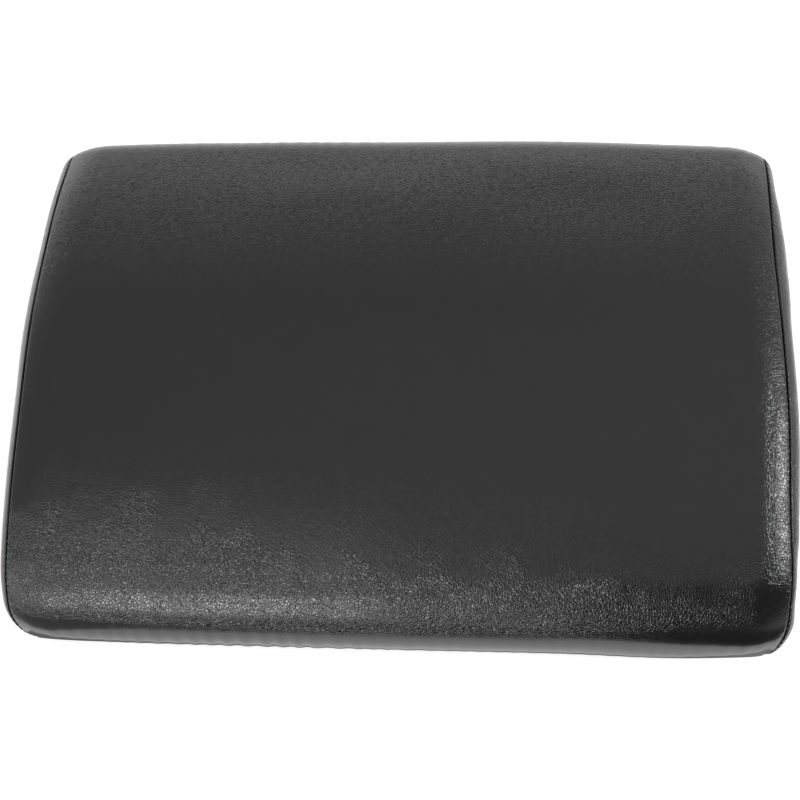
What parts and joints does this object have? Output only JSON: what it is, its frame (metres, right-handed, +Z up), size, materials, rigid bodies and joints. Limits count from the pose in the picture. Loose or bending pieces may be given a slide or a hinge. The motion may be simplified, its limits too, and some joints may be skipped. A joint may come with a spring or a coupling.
{
  "type": "ab mat",
  "caption": "Curved sit-up pad: a foam block in a sewn black leather-look cover, steep at one end and thin at the other, with a zip in its flat underside.",
  "frame": {"origin": "centre of the bounding box's bottom face, on the surface that the pad lies on", "axes": "+X across the pad to its right side panel, seen from the steep end (longest extent); +Y from the steep end to the thin end; +Z up (shortest extent)"},
  "size_m": [0.3732, 0.276, 0.0662],
  "materials": {
    "cover_leather": "fine grained, semi-gloss, coated fabric",
    "foam": "dense open-cell foam, matt",
    "thread": "bonded polyester thread",
    "zip_tape": "woven polyester tape",
    "zip_coil": "satin nylon",
    "zip_metal": "black lacquered zinc, satin"
  },
  "bodies": {
    "mat": {"foam_core": "foam", "top_panel": "cover_leather", "left_side_panel": "cover_leather", "right_side_panel": "cover_leather", "base_panel": "cover_leather", "base_strip": "cover_leather", "left_seam_thread": "thread", "right_seam_thread": "thread", "base_seam_thread": "thread", "zip_stitching_near": "thread", "zip_stitching_far": "thread", "zip_tape_near": "zip_tape", "zip_tape_far": "zip_tape", "zip_coil_near": "zip_coil", "zip_coil_far": "zip_coil", "zip_top_stop_near": "zip_metal", "zip_top_stop_far": "zip_metal", "zip_bottom_stop": "zip_metal"},
    "slider": {"zip_slider": "zip_metal"},
    "pull": {"zip_pull": "zip_metal"}
  },
  "joints": [
    {"name": "zip_slide", "type": "slide", "parent": "mat", "child": "slider", "axis": [-1, 0, 0], "range_m": [0, 0.2514]},
    {"name": "pull_swing", "type": "hinge", "parent": "slider", "child": "pull", "pos_m": [0.1238, 0.04793, 0.00265], "axis": [0, -1, 0], "range_deg": [0, 165]}
  ]
}
